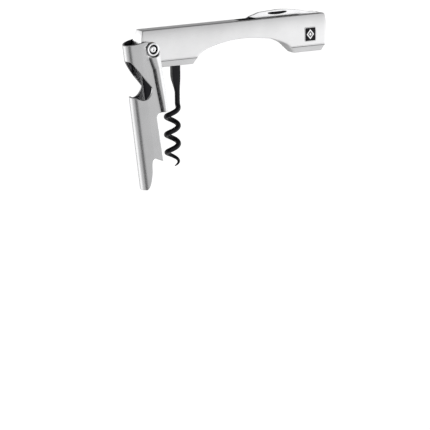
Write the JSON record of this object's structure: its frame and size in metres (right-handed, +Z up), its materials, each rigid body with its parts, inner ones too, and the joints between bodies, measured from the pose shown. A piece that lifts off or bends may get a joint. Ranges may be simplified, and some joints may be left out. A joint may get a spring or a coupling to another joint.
{
  "type": "folding lever corkscrew",
  "caption": "Folding pocket corkscrew with a lever and opener hook, a coated worm and a foil-cutter blade, each on its own pivot.",
  "frame": {"origin": "middle of the grip: on the handle's mid-plane, half way along, where the hand closes round it; 52 mm behind and 5 mm above the lever's pivot axis", "axes": "+X along the handle, away from the lever; +Y across the handle, towards the side without the badge; +Z up through the handle's back when the corkscrew stands on a bottle"},
  "size_m": [0.1249, 0.0146, 0.091],
  "materials": {
    "brushed_steel": "fine lengthwise brushing, satin",
    "lever_steel": "satin with softly polished edges",
    "pin_steel": "turned and polished",
    "spring_steel": "hardened, dull",
    "blade_steel": "fine ground",
    "bearing_bronze": "satin bronze",
    "black_coating": "non-stick coating, half gloss",
    "badge_enamel": "dark enamel, half gloss"
  },
  "bodies": {
    "handle": {"handle_body": "brushed_steel", "badge_plate": "badge_enamel", "lever_pivot_bush": "bearing_bronze", "lever_washer_front": "bearing_bronze", "lever_washer_rear": "bearing_bronze", "worm_pivot_pin": "pin_steel", "worm_spring_pin": "pin_steel", "blade_pivot_pin": "pin_steel", "blade_spring_pin": "pin_steel", "worm_spring": "spring_steel", "blade_spring": "spring_steel"},
    "lever": {"lever_arm": "lever_steel", "lever_pivot_pin": "pin_steel"},
    "worm": {"worm": "black_coating"},
    "blade": {"foil_blade": "blade_steel"}
  },
  "joints": [
    {"name": "lever_fold", "type": "hinge", "parent": "handle", "child": "lever", "pos_m": [-0.052, 0, -0.005], "axis": [0, 1, 0], "range_deg": [-83, 60]},
    {"name": "worm_fold", "type": "hinge", "parent": "handle", "child": "worm", "pos_m": [-0.0346, 0, -0.012], "axis": [0, 1, 0], "range_deg": [-93.1, 67.3]},
    {"name": "blade_fold", "type": "hinge", "parent": "handle", "child": "blade", "pos_m": [0.0526, 0, 0.0002], "axis": [0, 1, 0], "range_deg": [0, 170]}
  ],
  "couplings": [
    {"joint": "worm_fold", "follows": "lever_fold", "ratio": 1.12}
  ]
}
